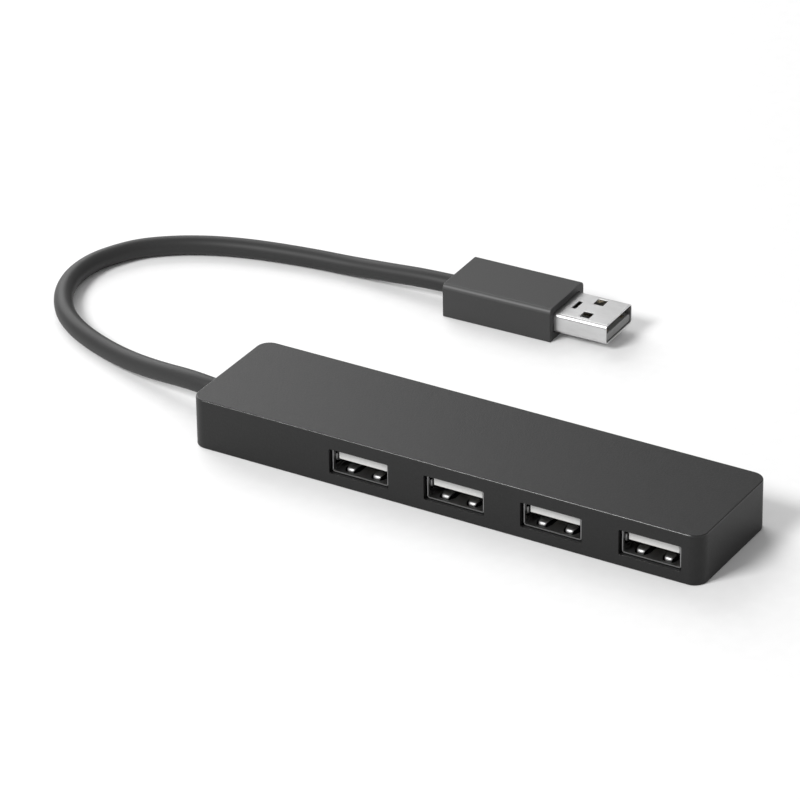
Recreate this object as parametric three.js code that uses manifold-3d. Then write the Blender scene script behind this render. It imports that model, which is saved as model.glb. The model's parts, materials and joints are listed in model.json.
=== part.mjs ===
// A slim four-port USB 2.0 hub: a flat case with four type-A sockets along its front, and a
// captive cable that ends in a type-A plug.
//
// Millimetres, +Z up. The origin is on the surface under the middle of the case. +X runs
// along the case to its free end, the cable leaves the -X end, and the sockets face -Y.

import * as THREE from 'three';
import { mergeVertices } from 'three/addons/utils/BufferGeometryUtils.js';
import Module from 'manifold-3d';

const wasm = await Module();
wasm.setup();

// ---------------------------------------------------------------- driving dimensions

// Case
const caseLength = 117;
const caseDepth = 28.6;
const caseCorner = 3; // plan radius of the four upright edges
const edgeBevel = 0.3; // broken edge all round the top and the bottom
const wall = 1.6;
const roof = 1.6;
const coverThickness = 1.1;
const coverGap = 0.2; // all round the bottom cover
const fusion = 0.3; // how deep a rib or post is sunk into the plate that carries it
const innerCornerLeast = 0.4; // radius of an inside corner, at the least
const ribWidth = 0.8;
const postRadius = 1.2;
const postInset = 2.2; // from the board's front or rear edge to the middle of a post
const pegRadius = 1;
const pegInsets = [4, 3]; // from the board's two ends to the middle of a locating peg
const pegDepthInset = 6.5; // the same, from its rear edge
const cradleWall = 1;
const cradleInset = 1; // from the anchor's two ends to the cradle

// Snap clips of the bottom cover
const clipThickness = 1.2;
const clipReach = 4.7; // from the cover up to the end of an arm
const clipBarb = 0.7; // how far the barb stands out of its arm
const barbHeight = 1.2;
const barbLevel = 3.3; // from the cover up to the flat underside of a barb
const clipWallGap = 0.2;
const clipWeb = 1.4; // from an arm's side to the socket opening beside it
const pocketGap = 0.25; // round a barb in its pocket

// Circuit board
const boardThickness = 1;
const boardStandOff = 0.4; // height of the ribs that the board lies on
const seatGap = 0.1; // between pieces that rest on each other
const boardGap = 0.3; // between the board's edge and what it fits between
const boardAnchorGap = 2; // between the board and the cable anchor
const boardCorner = 0.8;

// Sockets: USB type-A receptacle sizes
const portCount = 4;
const portPitch = 22;
const lastPortInset = 11.25; // from the free end to the middle of the last socket
const socketWidth = 12.5; // clear inside
const socketHeight = 5.12; // clear inside
const socketDepth = 13.6;
const socketSheet = 0.3; // sheet metal
const socketCorner = 0.6; // outside radius of the folded sheet
const socketRecess = 0.8; // behind the case's front face
const openingSkin = 0.6; // thickness of the case wall in front of a socket
const openingSideGap = 0.35; // between the socket and the case opening, left and right
const openingFloorGap = 0.15; // the same, below
const openingTopLap = 0.32; // how far the skin comes down over the socket's top edge
const pocketHeadGap = 0.2; // between the socket and the wall behind the skin, above
const socketCeilingGap = 1.18; // from a socket up to the inside of the roof
const tongueSideGap = 0.7; // between the tongue and the socket's inside, left and right
const tongueThickness = 1.84;
const tongueHeadroom = 0.98; // from the tongue up to the socket's roof
const tongueSetback = 1.1; // from the socket's front edge
const tongueNose = 0.12; // bevel of its front edges
const socketBlockDepth = 3.2; // moulded block that closes the socket behind the tongue
const socketBlockGap = 0.1;
const tailRoom = 0.7; // from that block to the socket's rear edge, for the contact tails
const springSpread = 3.05; // from the socket's middle to each floor and roof spring
const springRootGap = 0.3; // from where a spring leaves the sheet to the moulded block
const springTip = 1.25; // depth of its free end
const springDip = 0.25; // how far that end goes below the sheet's level
const springWidth = 2.2;
const springRise = 0.75; // how far a relaxed spring stands into the socket
const springSlot = 0.4; // gap that frees a spring from the sheet
const springRootFlare = 0.6; // how far a spring's outline runs on into the sheet
const springTaper = 0.7; // width of a spring's tip, as a share of its root
const roofSpringShare = 0.45; // rise of a roof spring, as a share of a floor spring's
const sideSpringGap = 0.1; // between a side spring's crest and the tongue
const legWidth = 1.6;
const frontLegDepth = 5.2;
const rearLegInset = 3; // from the socket's rear edge
const legGap = 0.25; // round a leg or a contact tail in the board
const legEnd = 0.1; // from a leg's or a tail's end down to the board's underside

// Contacts of the sockets and the plug
const contactOffsets = [-3.5, -1, 1, 3.5];
const contactWidth = 1;
const contactSheet = 0.25;
const contactGap = 0.1; // in the groove
const contactBulge = 0.3; // how far a socket contact bows out of the tongue
const contactInset = 1; // from the tongue's front to the contact
const grooveInset = 0.8; // from the tongue's front to the contact's groove
const tailGap = 0.35; // from the block's rear to the middle of a contact tail

// Cable
const cableDiameter = 4.2;
const surfaceGap = 0.05; // under the cable where it lies down
const faceGap = 0.3; // between the cable's solid and what its ends meet
const bushWall = 0.9; // of the bush round the cable, in the case's end wall
const bushGap = 0.2; // between the bush and its hole
const anchorLength = 6;
const anchorWidth = 9;
const anchorRibReach = 0.4; // of the roof's ribs that press on the anchor
const anchorCorner = 0.8;
const anchorGap = 0.2;
const anchorRecess = 0.1; // of the bush behind the case's end face
const wireDiameter = 1;
const wirePitch = 1.5; // at the anchor
const wirePadPitch = 2; // on the board
const wireReach = 10; // along the board

// Small components on the board
const portCapacitorInset = 1.6; // from a socket's rear to the middle of its capacitor

// Plug: USB type-A plug sizes, and its overmould
const plugShellWidth = 12;
const plugShellHeight = 4.5;
const plugShellSheet = 0.3;
const plugShellCorner = 0.9;
const plugShellReach = 12.4; // in front of the overmould
const plugShellRoot = 8.5; // inside the overmould
const plugWindowLength = 2.3;
const plugWindowWidth = 2.5;
const plugWindowOffset = 3.2; // from the plug's middle, each side
const plugWindowInset = 6; // from the tip to the middle of a window
const plugSlotLength = 3.6; // lanced slot across the roof
const plugSlotWidth = 1;
const plugSlotReach = 2.5; // from the overmould to its middle
const plugInsulatorGap = 0.1;
const plugInsulatorRecess = 0.3; // behind the shell's tip, and in front of its root
const plugCavity = 1.95; // free height over the insulator
const plugContactInset = [0.9, 1.9, 1.9, 0.9]; // from the tip
const overmouldLength = 25.9;
const overmouldWidth = 15.4;
const overmouldHeight = 7.8;
const overmouldCorner = 1.2; // of the two long edges on top
const overmouldLowerCorner = 0.3;
const overmouldBevel = 0.15;
const overmouldGap = 0.15; // round what the overmould holds
const innerMouldLength = 8;
const innerMouldWidth = 11;
const innerMouldHeight = 5.4;
const innerMouldCorner = 0.5;
const plugTurn = 1.4; // degrees, from the case's length

// The cable's way from the case's end face to the plug: [x, y, lift], x and y from the exit.
// Lift 1 is the height that it leaves or enters at, and lift 0 lies on the surface.
const leavingCase = [
  [0, 0, 1], [-4, 0.1, 1], [-8, 0.8, 0.95], [-12, 1.7, 0.82], [-16.5, 2.7, 0.63],
  [-21.3, 3.9, 0.43], [-26.5, 5.4, 0.24], [-31.7, 7.1, 0.1], [-37, 9.1, 0.02],
];
const onSurface = [
  [-42.2, 11.3, 0], [-47.7, 14.3, 0], [-53.2, 18.8, 0], [-57.9, 25.2, 0], [-60.5, 32, 0],
  [-61, 38.4, 0], [-59.7, 44.3, 0], [-55.9, 51.2, 0], [-50, 56.4, 0], [-43.2, 60.2, 0],
  [-35.6, 62.9, 0], [-27.5, 64.7, 0], [-19.2, 66, 0],
];
const reachingPlug = [
  [-11, 66.6, 0.1], [-2, 66.7, 0.48], [7, 66.9, 0.87], [16.1, 67.3, 1],
];

// ---------------------------------------------------------------- sizes worked out

const caseFront = -caseDepth / 2;
const cableEnd = -caseLength / 2;
const freeEnd = caseLength / 2;
const innerFront = caseFront + wall;
const innerRear = -innerFront;
const boardBottom = coverThickness + boardStandOff + seatGap;
const boardTop = boardBottom + boardThickness;
const socketBottom = boardTop + seatGap;
const socketOuterWidth = socketWidth + 2 * socketSheet;
const socketOuterHeight = socketHeight + 2 * socketSheet;
const ceiling = socketBottom + socketOuterHeight + socketCeilingGap;
const caseHeight = ceiling + roof;
const openingWidth = socketOuterWidth + 2 * openingSideGap;
const clipWidth = portPitch - openingWidth - 2 * clipWeb;
const clipOuter = innerRear - clipWallGap; // distance of an arm's outer face from the middle
const boardHalfDepth = clipOuter - clipThickness - boardGap;
const exitHeight = caseHeight / 2;
const anchorHeight = 2 * (ceiling - anchorRibReach - seatGap - exitHeight);
const anchorStart = cableEnd + wall + anchorGap;
const anchorEnd = anchorStart + anchorLength;
const boardStart = anchorEnd + boardAnchorGap;
const boardEnd = freeEnd - wall - boardGap;
const pegX = [boardStart + pegInsets[0], boardEnd - pegInsets[1]];
const pegY = boardHalfDepth - pegDepthInset;
const socketFront = caseFront + socketRecess;
const socketRear = socketFront + socketDepth;
const componentY = (socketRear + boardHalfDepth) / 2; // middle of the board behind the sockets
const cableRadius = cableDiameter / 2;
const bushRadius = cableRadius + bushWall;
const cableRest = cableRadius + surfaceGap;
const plugAxis = overmouldHeight / 2;

// Middle of a socket, counted from the cable end.
function portX(index) {
  return freeEnd - lastPortInset - (portCount - 1 - index) * portPitch;
}

// Middle of the clip on the cable side of a socket.
function clipX(index) {
  return portX(index) - portPitch / 2;
}

// ---------------------------------------------------------------- shape tools

// A closed three.js geometry as a solid for joining and cutting.
function solid(geometry) {
  const bare = geometry.index ? geometry.toNonIndexed() : geometry.clone();
  bare.deleteAttribute('normal');
  bare.deleteAttribute('uv');
  const merged = mergeVertices(bare, 1e-4);
  return new wasm.Manifold(new wasm.Mesh({
    numProp: 3,
    vertProperties: new Float32Array(merged.attributes.position.array),
    triVerts: new Uint32Array(merged.index.array),
  }));
}

function join(first, ...others) {
  return others.reduce((whole, piece) => whole.add(piece), first);
}

function cut(first, ...others) {
  return others.reduce((whole, piece) => whole.subtract(piece), first);
}

// A solid as a three.js geometry.
function geometryOf(body) {
  const mesh = body.getMesh();
  const geometry = new THREE.BufferGeometry();
  geometry.setAttribute('position', new THREE.BufferAttribute(mesh.vertProperties, 3));
  geometry.setIndex(new THREE.BufferAttribute(mesh.triVerts, 1));
  geometry.computeVertexNormals();
  return geometry;
}

// A block between two opposite corners.
function block(low, high) {
  const size = high.map((value, axis) => value - low[axis]);
  const geometry = new THREE.BoxGeometry(...size);
  geometry.translate(...low.map((value, axis) => value + size[axis] / 2));
  return solid(geometry);
}

// A rectangle with round corners, centred on a point. Its two lower corners may differ.
function roundedRectangle(width, height, radius, centreX = 0, centreY = 0, lower = radius) {
  const shape = new THREE.Shape();
  const corners = [[1, 1, radius], [-1, 1, radius], [-1, -1, lower], [1, -1, lower]];
  corners.forEach(([sideX, sideY, corner], quarter) => {
    const x = centreX + sideX * (width / 2 - corner);
    const y = centreY + sideY * (height / 2 - corner);
    const start = quarter * Math.PI / 2;
    shape.absarc(x, y, corner, start, start + Math.PI / 2, false);
  });
  return shape;
}

// A plate whose outline lies in XY, from one level up to another.
function plate(shape, bottom, top, bevel = 0, curveSegments = 4) {
  const geometry = new THREE.ExtrudeGeometry(shape, {
    depth: top - bottom - 2 * bevel,
    curveSegments,
    bevelEnabled: bevel > 0,
    bevelThickness: bevel,
    bevelSize: bevel,
    bevelOffset: -bevel,
    bevelSegments: 2,
  });
  geometry.translate(0, 0, bottom + bevel);
  return geometry;
}

// The same with its outline in XZ, running along +Y from one depth to another.
function barAlongY(shape, front, rear, bevel = 0, curveSegments = 3) {
  const geometry = plate(shape, -rear, -front, bevel, curveSegments);
  geometry.rotateX(Math.PI / 2);
  return geometry;
}

// The same with its outline in YZ, running along +X.
function barAlongX(shape, start, end, bevel = 0, curveSegments = 3) {
  const geometry = plate(shape, start, end, bevel, curveSegments);
  const turn = new THREE.Matrix4().makeBasis(
    new THREE.Vector3(0, 1, 0), new THREE.Vector3(0, 0, 1), new THREE.Vector3(1, 0, 0));
  geometry.applyMatrix4(turn);
  return geometry;
}

function roundPost(radius, x, y, bottom, top, sides = 16) {
  const geometry = new THREE.CylinderGeometry(radius, radius, top - bottom, sides);
  geometry.rotateX(Math.PI / 2);
  geometry.translate(x, y, (top + bottom) / 2);
  return solid(geometry);
}

function roundBarAlongX(radius, y, z, start, end, sides = 20) {
  const geometry = new THREE.CylinderGeometry(radius, radius, end - start, sides);
  geometry.rotateZ(Math.PI / 2);
  geometry.translate((start + end) / 2, y, z);
  return solid(geometry);
}

// The outline of a bent strip of sheet: the path thickened to both sides, corners mitred.
function bentStrip(path, thickness) {
  const points = path.map(([a, b]) => new THREE.Vector2(a, b));
  const last = points.length - 1;
  const left = [];
  const right = [];
  points.forEach((point, index) => {
    const before = points[Math.max(index - 1, 0)];
    const after = points[Math.min(index + 1, last)];
    const into = point.clone().sub(index > 0 ? before : point.clone().multiplyScalar(2).sub(after));
    const out = (index < last ? after.clone().sub(point) : into.clone());
    const normalIn = new THREE.Vector2(-into.y, into.x).normalize();
    const normalOut = new THREE.Vector2(-out.y, out.x).normalize();
    const mitre = normalIn.clone().add(normalOut).normalize();
    const reach = thickness / 2 / mitre.dot(normalIn);
    left.push(point.clone().addScaledVector(mitre, reach));
    right.push(point.clone().addScaledVector(mitre, -reach));
  });
  return new THREE.Shape([...left, ...right.reverse()]);
}

// A tube along a smooth line through the given points.
function tube(points, radius, sides, steps) {
  const section = new THREE.Shape();
  for (let side = 0; side < sides; side += 1) {
    const angle = (side + 0.5) * 2 * Math.PI / sides;
    const spot = [radius * Math.cos(angle), radius * Math.sin(angle)];
    if (side === 0) {
      section.moveTo(...spot);
    } else {
      section.lineTo(...spot);
    }
  }
  section.closePath();
  const way = new THREE.CatmullRomCurve3(points.map((point) => new THREE.Vector3(...point)));
  return new THREE.ExtrudeGeometry(section, { steps, extrudePath: way, bevelEnabled: false });
}

// ---------------------------------------------------------------- materials

function material(color, roughness, metalness) {
  return new THREE.MeshStandardMaterial({ color, roughness, metalness });
}

const casePlastic = material(0x35353a, 0.6, 0);
const cableRubber = material(0x3a3a3c, 0.65, 0);
const whitePlastic = material(0xe6e6e2, 0.5, 0);
const greyPlastic = material(0x808080, 0.5, 0);
const brightMetal = material(0xc8cacc, 0.25, 1);
const goldPlate = material(0xd7b25a, 0.3, 1);
const boardBlack = material(0x141416, 0.5, 0);
const chipBlack = material(0x1c1c1e, 0.6, 0);
const canMetal = material(0xb9bbbd, 0.35, 1);
const ceramic = material(0xb59a72, 0.6, 0);
const wireColours = [0xb02a2a, 0xe4e4e0, 0x2f7d3c, 0x222222].map((color) => material(color, 0.6, 0));

function named(name, geometry, finish) {
  const mesh = new THREE.Mesh(geometry, finish);
  mesh.name = name;
  return mesh;
}

// ---------------------------------------------------------------- case

// Opening in front of a socket: a hole through the skin, and behind it the pocket that the
// socket's end stands in.
function portOpening(index) {
  const left = portX(index) - openingWidth / 2;
  const right = portX(index) + openingWidth / 2;
  const bottom = socketBottom - openingFloorGap;
  const socketTop = socketBottom + socketOuterHeight;
  return join(
    block([left, caseFront - 1, bottom], [right, innerFront, socketTop - openingTopLap]),
    block([left, caseFront + openingSkin, bottom],
      [right, innerFront + 1, socketTop + pocketHeadGap]),
  );
}

// Pocket in a long wall that a clip's barb snaps into. Side is -1 at the front, 1 at the rear.
function clipPocket(index, side) {
  const halfWidth = clipWidth / 2 + pocketGap;
  const bottom = coverThickness + barbLevel - pocketGap / 2;
  const near = side * (innerRear - 0.5);
  const far = side * (clipOuter + clipBarb + pocketGap);
  return block(
    [clipX(index) - halfWidth, Math.min(near, far), bottom],
    [clipX(index) + halfWidth, Math.max(near, far), bottom + barbHeight + pocketGap],
  );
}

function topShell() {
  const outline = roundedRectangle(caseLength, caseDepth, caseCorner);
  const inside = roundedRectangle(
    caseLength - 2 * wall, caseDepth - 2 * wall, Math.max(caseCorner - wall, innerCornerLeast));
  let shell = cut(
    solid(plate(outline, 0, caseHeight, edgeBevel, 8)),
    solid(plate(inside, -1, ceiling)),
    roundBarAlongX(bushRadius + bushGap, 0, exitHeight, cableEnd - 1, anchorStart + 0.5),
  );
  for (let index = 0; index < portCount; index += 1) {
    shell = cut(shell, portOpening(index), clipPocket(index, -1), clipPocket(index, 1));
  }
  // Posts that hold the board down: one beside each socket, two at the rear and one in the
  // front corner at the cable's end.
  const postY = boardHalfDepth - postInset;
  const posts = [[boardStart + postInset, -postY], [portX(1), postY], [boardEnd - postInset, postY]];
  for (let index = 0; index < portCount; index += 1) {
    posts.push([clipX(index), socketFront + socketDepth / 2]);
  }
  for (const [x, y] of posts) {
    shell = join(shell, roundPost(postRadius, x, y, boardTop + seatGap, ceiling + fusion));
  }
  // Two ribs that press on the cable anchor.
  for (const x of [anchorStart + cradleInset, anchorEnd - cradleInset - ribWidth]) {
    shell = join(shell, block(
      [x, -anchorWidth / 2, ceiling - anchorRibReach],
      [x + ribWidth, anchorWidth / 2, ceiling + fusion]));
  }
  return geometryOf(shell);
}

function clipArm(index, side) {
  const outer = side * clipOuter;
  const inner = side * (clipOuter - clipThickness);
  const barb = side * (clipOuter + clipBarb);
  const foot = coverThickness - fusion;
  const tip = coverThickness + clipReach;
  const level = coverThickness + barbLevel;
  const profile = new THREE.Shape([
    [inner, foot], [outer, foot], [outer, level], [barb, level], [barb, level + barbHeight / 4],
    [outer, level + barbHeight], [outer, tip], [inner, tip],
  ].map(([y, z]) => new THREE.Vector2(y, z)));
  return solid(barAlongX(profile, clipX(index) - clipWidth / 2, clipX(index) + clipWidth / 2));
}

function bottomCover() {
  const outline = roundedRectangle(
    caseLength - 2 * (wall + coverGap), caseDepth - 2 * (wall + coverGap),
    Math.max(caseCorner - wall - coverGap, innerCornerLeast));
  let cover = solid(plate(outline, 0, coverThickness));
  for (let index = 0; index < portCount; index += 1) {
    cover = join(cover, clipArm(index, -1), clipArm(index, 1));
  }
  // Ribs under the board, across its depth.
  const ribHalf = boardHalfDepth - 1.5;
  const ribs = [boardStart + ribWidth, boardEnd - ribWidth];
  for (let index = 0; index < portCount; index += 1) {
    ribs.push(clipX(index));
  }
  for (const x of ribs) {
    cover = join(cover, block(
      [x - ribWidth / 2, -ribHalf, coverThickness - fusion],
      [x + ribWidth / 2, ribHalf, coverThickness + boardStandOff]));
  }
  for (const x of pegX) {
    cover = join(cover, roundPost(pegRadius, x, pegY, coverThickness - fusion, boardTop));
  }
  // Cradle of the cable anchor: a sill under it and a cheek on each side.
  const start = anchorStart + cradleInset;
  const end = anchorEnd - cradleInset;
  const foot = coverThickness - fusion;
  const sill = exitHeight - anchorHeight / 2 - seatGap;
  const cheek = anchorWidth / 2 + anchorGap;
  cover = join(
    cover,
    block([start, -cheek - cradleWall, foot], [end, cheek + cradleWall, sill]),
    block([start, -cheek - cradleWall, foot], [end, -cheek, exitHeight]),
    block([start, cheek, foot], [end, cheek + cradleWall, exitHeight]),
  );
  return geometryOf(cover);
}

// ---------------------------------------------------------------- board and its components

const blockRear = socketDepth - tailRoom;
const contactTailY = blockRear + tailGap;
const legDepths = [frontLegDepth, socketDepth - rearLegInset];

function circuitBoard() {
  const shape = roundedRectangle(
    boardEnd - boardStart, 2 * boardHalfDepth, boardCorner, (boardStart + boardEnd) / 2, 0);
  let board = solid(plate(shape, boardBottom, boardTop));
  const below = boardBottom - 1;
  const above = boardTop + 1;
  for (const x of pegX) {
    board = cut(board, roundPost(pegRadius + seatGap, x, pegY, below, above));
  }
  for (let index = 0; index < portCount; index += 1) {
    const x = portX(index);
    for (const offset of contactOffsets) {
      const halfWidth = contactWidth / 2 + legGap;
      const halfDepth = contactSheet / 2 + legGap;
      const y = socketFront + contactTailY;
      board = cut(board, block(
        [x + offset - halfWidth, y - halfDepth, below],
        [x + offset + halfWidth, y + halfDepth, above]));
    }
    for (const depth of legDepths) {
      for (const side of [-1, 1]) {
        const middle = x + side * (socketOuterWidth - socketSheet) / 2;
        const halfSheet = socketSheet / 2 + legGap;
        const halfLeg = legWidth / 2 + legGap;
        const y = socketFront + depth;
        board = cut(board, block(
          [middle - halfSheet, y - halfLeg, below], [middle + halfSheet, y + halfLeg, above]));
      }
    }
  }
  return geometryOf(board);
}

// Level that the components stand on.
const footLevel = boardTop + seatGap;

// Small-outline chip with a row of bent leads along each long side.
function hubController(x, y) {
  const length = 9.9;
  const width = 3.9;
  const standOff = 0.15;
  const thickness = 1.35;
  const leadsPerSide = 8;
  const leadPitch = 1.27;
  const leadWidth = 0.4;
  const leadSheet = 0.2;
  const bodyBottom = footLevel + standOff;
  const middle = bodyBottom + thickness / 2;
  const lead = footLevel + leadSheet / 2;
  const path = [
    [width / 2 - fusion, middle], [width / 2 + 0.35, middle],
    [width / 2 + 0.5, lead], [width / 2 + 1.1, lead],
  ];
  let chip = solid(plate(
    roundedRectangle(length, width, 0.2, x, y), bodyBottom, bodyBottom + thickness, 0.15, 1));
  for (let place = 0; place < leadsPerSide; place += 1) {
    const start = x + (place - (leadsPerSide - 1) / 2) * leadPitch - leadWidth / 2;
    for (const side of [-1, 1]) {
      const outline = bentStrip(path.map(([out, height]) => [y + side * out, height]), leadSheet);
      chip = join(chip, solid(barAlongX(outline, start, start + leadWidth)));
    }
  }
  return geometryOf(chip);
}

// Crystal in its long round-ended can, on a wider flange.
function crystalCan(x, y) {
  const length = 10.2;
  const width = 3.7;
  const height = 3.5;
  const flange = 0.4; // its thickness, and how far it stands out
  const outline = roundedRectangle(length, width, width / 2 - 0.05, x, y);
  const rim = roundedRectangle(length + 2 * flange, width + 2 * flange, width / 2 + 0.25, x, y);
  return geometryOf(join(
    solid(plate(rim, footLevel, footLevel + flange)),
    solid(plate(outline, footLevel + flange / 2, footLevel + height, 0.3)),
  ));
}

const bulkCapacitorRadius = 2.5;
const bulkCapacitorFoot = 5.3;

// Upright electrolytic capacitor on its square foot, with the rolled neck of its can.
function bulkCapacitor(x, y) {
  const footHeight = 0.8;
  const height = 5.3;
  const radius = bulkCapacitorRadius;
  const neck = radius - 0.25;
  const edge = 0.3; // bevel of the can's top
  const profile = [
    [0, footHeight / 2], [radius, footHeight / 2], [radius, 1.1], [neck, 1.4], [radius, 1.7],
    [radius, height - edge], [radius - edge, height], [0, height],
  ];
  const can = new THREE.LatheGeometry(profile.map(([r, z]) => new THREE.Vector2(r, z)), 20);
  can.rotateX(Math.PI / 2);
  can.translate(x, y, footLevel);
  const foot = roundedRectangle(bulkCapacitorFoot, bulkCapacitorFoot, 0.7, x, y);
  return geometryOf(join(solid(plate(foot, footLevel, footLevel + footHeight)), solid(can)));
}

// Flat chip component with its two wrapped-round end caps.
function chipComponent(x, y, length, width, height) {
  const capLength = 0.4;
  const capThickness = 0.05; // how far a cap stands out of the body
  const body = block(
    [x - length / 2 + 2 * capThickness, y - width / 2 + capThickness, footLevel + capThickness],
    [x + length / 2 - 2 * capThickness, y + width / 2 - capThickness,
      footLevel + height - capThickness]);
  const ends = [-1, 1].map((side) => {
    const middle = x + side * (length - capLength) / 2;
    return block(
      [middle - capLength / 2, y - width / 2, footLevel],
      [middle + capLength / 2, y + width / 2, footLevel + height]);
  });
  return geometryOf(join(body, ...ends));
}

// ---------------------------------------------------------------- sockets
// Local frame of a socket: x across it, y into it from its front edge, z up from its outside.

const legBottom = boardBottom + legEnd - socketBottom;
const tongueWidth = socketWidth - 2 * tongueSideGap;
const tongueTop = socketSheet + socketHeight - tongueHeadroom;
const tongueBottom = tongueTop - tongueThickness;
const tongueRear = blockRear - socketBlockDepth;
const springRoot = tongueRear - springRootGap;
const sideSpringRise = tongueSideGap - sideSpringGap;

// Side view of a spring, as [depth, height into the socket]: it leaves the sheet at the root,
// rises to a crest near the front and curls down through the sheet's level at its tip.
const springPath = [
  [springRoot + 0.3, 0], [springRoot - 0.4, 0], [springTip + 3.4, springRise * 0.75],
  [springTip + 2, springRise], [springTip + 0.9, springRise * 0.85],
  [springTip + 0.3, springRise * 0.35], [springTip + 0.05, -springDip],
];

// A spring seen from above: narrow at its tip, wide at its root.
function springOutline(centre, tipDepth, rootDepth, extra) {
  const tip = springWidth / 2 * springTaper + extra;
  const root = springWidth / 2 + extra;
  return new THREE.Shape([
    [centre - root, rootDepth], [centre - tip, tipDepth],
    [centre + tip, tipDepth], [centre + root, rootDepth],
  ].map(([x, y]) => new THREE.Vector2(x, y)));
}

// Socket shell: a folded sheet tube, with springs cut out of its floor, roof and sides.
function socketShell() {
  const middle = socketOuterHeight / 2;
  const outside = roundedRectangle(socketOuterWidth, socketOuterHeight, socketCorner, 0, middle);
  const inside = roundedRectangle(
    socketWidth, socketHeight, socketCorner - socketSheet, 0, middle);
  const tailSlot = socketWidth / 2 - 0.8;
  let shell = cut(
    solid(barAlongY(outside, 0, socketDepth)),
    solid(barAlongY(inside, -1, socketDepth + 1)),
    // The floor ends before the contact tails.
    block([-tailSlot, contactTailY - 0.6, -1], [tailSlot, socketDepth + 1, 1]),
  );
  const floor = socketSheet / 2;
  for (const x of [-springSpread, springSpread]) {
    // Floor and roof springs share one outline in plan.
    const slot = springOutline(x, springTip - springSlot, springRoot, springSlot);
    const finger = springOutline(x, springTip, springRoot + springRootFlare, 0);
    shell = cut(shell, solid(plate(slot, -1, socketOuterHeight + 1)));
    const paths = [
      springPath.map(([depth, height]) => [depth, floor + height]),
      springPath.map(([depth, height]) => [
        depth, socketOuterHeight - floor - height * roofSpringShare]),
    ];
    for (const path of paths) {
      const strip = barAlongX(bentStrip(path, socketSheet), x - springWidth, x + springWidth);
      shell = join(
        shell, solid(strip).intersect(solid(plate(finger, -1, socketOuterHeight + 1))));
    }
  }
  // One spring in each side wall.
  for (const side of [-1, 1]) {
    const sheetX = side * (socketOuterWidth - socketSheet) / 2;
    const halfHeight = springWidth / 2;
    const reach = side * socketOuterWidth;
    shell = cut(shell, block(
      [Math.min(reach, sheetX / 1.2), springTip - springSlot, middle - halfHeight - springSlot],
      [Math.max(reach, sheetX / 1.2), springRoot, middle + halfHeight + springSlot]));
    const path = springPath.map(([depth, height]) => [
      sheetX - side * sideSpringRise * height / springRise, depth]);
    const strip = plate(bentStrip(path, socketSheet), middle - halfHeight, middle + halfHeight);
    shell = join(shell, solid(strip));
    for (const depth of legDepths) {
      shell = join(shell, block(
        [sheetX - socketSheet / 2, depth - legWidth / 2, legBottom],
        [sheetX + socketSheet / 2, depth + legWidth / 2, 1]));
    }
  }
  return geometryOf(shell);
}

// Moulded insulator: a block that closes the rear, and the tongue with its contact grooves.
function socketInsulator() {
  const blockShape = roundedRectangle(
    socketWidth - 2 * socketBlockGap, socketHeight - 2 * socketBlockGap,
    socketCorner - socketSheet, 0, socketOuterHeight / 2);
  const tongueShape = new THREE.Shape([
    [tongueSetback, tongueBottom + tongueNose], [tongueSetback + tongueNose, tongueBottom],
    [tongueRear + fusion, tongueBottom], [tongueRear + fusion, tongueTop],
    [tongueSetback + tongueNose, tongueTop], [tongueSetback, tongueTop - tongueNose],
  ].map(([y, z]) => new THREE.Vector2(y, z)));
  let body = join(
    solid(barAlongX(tongueShape, -tongueWidth / 2, tongueWidth / 2)),
    solid(barAlongY(blockShape, tongueRear, blockRear)),
  );
  // Each contact has a groove under the tongue, and a slot through the block.
  const grooveTop = tongueBottom + contactSheet + 2 * contactGap;
  for (const offset of contactOffsets) {
    const left = offset - contactWidth / 2 - contactGap;
    const right = offset + contactWidth / 2 + contactGap;
    body = cut(
      body,
      block([left, tongueSetback + grooveInset, tongueBottom - 1], [right, tongueRear, grooveTop]),
      block([left, tongueRear - 1, tongueBottom], [right, blockRear + 1, grooveTop]),
    );
  }
  return geometryOf(body);
}

// A socket contact: it lies under the tongue, passes through the block and turns down
// behind it into the board.
function socketContact(offset) {
  const level = tongueBottom + contactGap + contactSheet / 2;
  const start = tongueSetback + contactInset;
  const path = [
    [start, level], [start + 0.8, level - contactBulge * 0.4], [start + 2, level - contactBulge],
    [start + 3.4, level - contactBulge * 0.5], [start + 5, level],
    [contactTailY, level], [contactTailY, legBottom],
  ];
  const half = contactWidth / 2;
  return barAlongX(bentStrip(path, contactSheet), offset - half, offset + half);
}

// ---------------------------------------------------------------- cable

// A strain relief moulded round the cable's end: its block lies in the cradle, and its bush
// fills the hole in the case's end wall.
function cableAnchor() {
  const shape = roundedRectangle(anchorWidth, anchorHeight, anchorCorner, 0, exitHeight);
  return geometryOf(join(
    solid(barAlongX(shape, anchorStart, anchorEnd, 0.3)),
    roundBarAlongX(bushRadius, 0, exitHeight, cableEnd + anchorRecess, anchorStart + 1),
  ));
}

// A wire from the anchor down to its pad, on the part of the board behind the sockets.
function innerWire(index) {
  const place = index - 1.5;
  const start = anchorEnd + faceGap;
  const rest = footLevel + wireDiameter / 2;
  const near = place * wirePitch;
  const far = componentY + place * wirePadPitch;
  const points = [
    [start, near, exitHeight], [start + 1.5, near, exitHeight],
    [start + wireReach * 0.45, (near + far) / 2, (exitHeight + rest) / 2],
    [start + wireReach - 2, far, rest], [start + wireReach, far, rest],
  ];
  return tube(points, wireDiameter / 2, 6, 10);
}

// Points of the cable's centre line.
function cableRoute() {
  const place = ([x, y, lift], height) => [cableEnd + x, y, cableRest + lift * (height - cableRest)];
  return [
    ...leavingCase.map((point) => place(point, exitHeight)),
    ...onSurface.map((point) => place(point, cableRest)),
    ...reachingPlug.map((point) => place(point, plugAxis)),
  ];
}

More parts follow.
